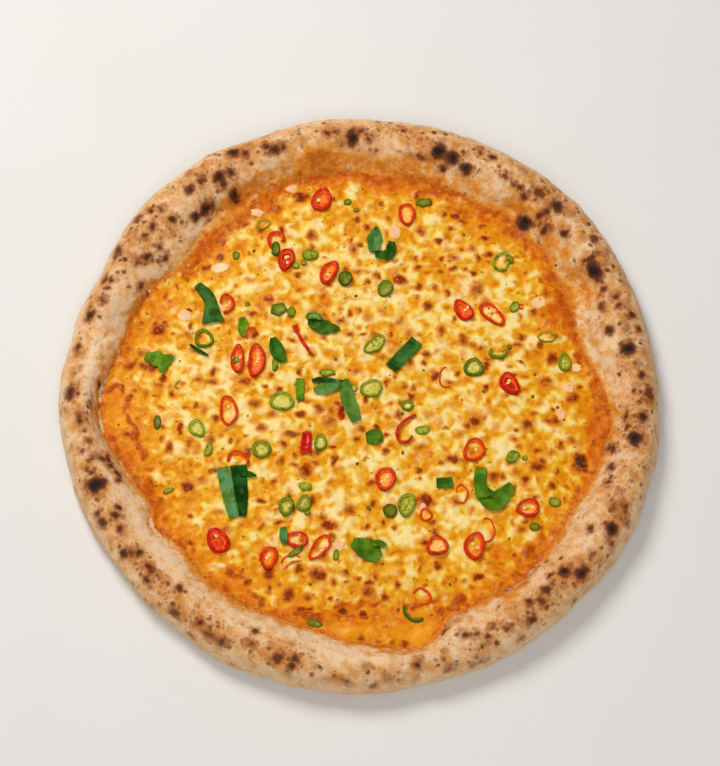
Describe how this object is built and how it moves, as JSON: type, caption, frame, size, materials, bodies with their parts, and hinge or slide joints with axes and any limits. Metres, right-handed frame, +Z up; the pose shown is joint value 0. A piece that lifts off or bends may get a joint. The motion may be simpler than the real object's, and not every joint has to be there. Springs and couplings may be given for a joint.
{
  "type": "chili pizza",
  "caption": "Whole round baked pizza with a puffy charred rim, melted cheese, slices of red and green chili and cuts of green leaf, lying flat.",
  "frame": {"origin": "middle of the outline's box, on the plane the pizza lies on", "axes": "+Z up out of the topping, -Y towards the viewer of the picture, +X to the right"},
  "size_m": [0.3186, 0.3268, 0.0221],
  "materials": {
    "baked_dough": "matt floury baked crust, tan with dark char spots",
    "melted_cheese": "oily melted cheese, cream to golden with toasted bubbles and orange-red sauce at the edge",
    "red_chilli": "glossy red skin with orange flesh",
    "green_pepper": "glossy green skin with pale flesh",
    "green_leaf": "wilted dark green leaf, satin"
  },
  "bodies": {
    "root": {"crust": "baked_dough", "cheese_layer": "melted_cheese", "chilli_ring_01": "red_chilli", "chilli_ring_02": "red_chilli", "chilli_ring_03": "red_chilli", "chilli_ring_04": "red_chilli", "chilli_ring_05": "red_chilli", "chilli_ring_06": "red_chilli", "chilli_ring_07": "red_chilli", "chilli_ring_08": "red_chilli", "chilli_ring_09": "red_chilli", "chilli_ring_10": "red_chilli", "chilli_ring_11": "red_chilli", "chilli_ring_12": "red_chilli", "chilli_ring_13": "red_chilli", "chilli_ring_14": "red_chilli", "chilli_ring_15": "red_chilli", "chilli_ring_16": "red_chilli", "chilli_ring_17": "red_chilli", "chilli_ring_18": "red_chilli", "chilli_ring_19": "red_chilli", "chilli_ring_20": "red_chilli", "chilli_ring_21": "red_chilli", "chilli_ring_22": "red_chilli", "chilli_strip_01": "red_chilli", "chilli_strip_02": "red_chilli", "chilli_strip_03": "red_chilli", "pepper_ring_01": "green_pepper", "pepper_ring_02": "green_pepper", "pepper_ring_03": "green_pepper", "pepper_ring_04": "green_pepper", "pepper_ring_05": "green_pepper", "pepper_ring_06": "green_pepper", "pepper_ring_07": "green_pepper", "pepper_ring_08": "green_pepper", "pepper_ring_09": "green_pepper", "pepper_ring_10": "green_pepper", "pepper_ring_11": "green_pepper", "pepper_ring_12": "green_pepper", "pepper_ring_13": "green_pepper", "pepper_ring_14": "green_pepper", "pepper_disc_01": "green_pepper", "pepper_disc_02": "green_pepper", "pepper_disc_03": "green_pepper", "leaf_01": "green_leaf", "leaf_02": "green_leaf", "leaf_03": "green_leaf", "leaf_04": "green_leaf", "leaf_05": "green_leaf", "leaf_06": "green_leaf", "leaf_07": "green_leaf", "leaf_08": "green_leaf", "leaf_09": "green_leaf", "leaf_10": "green_leaf", "leaf_11": "green_leaf", "leaf_12": "green_leaf", "leaf_13": "green_leaf", "leaf_14": "green_leaf", "leaf_15": "green_leaf", "leaf_16": "green_leaf"}
  },
  "joints": []
}
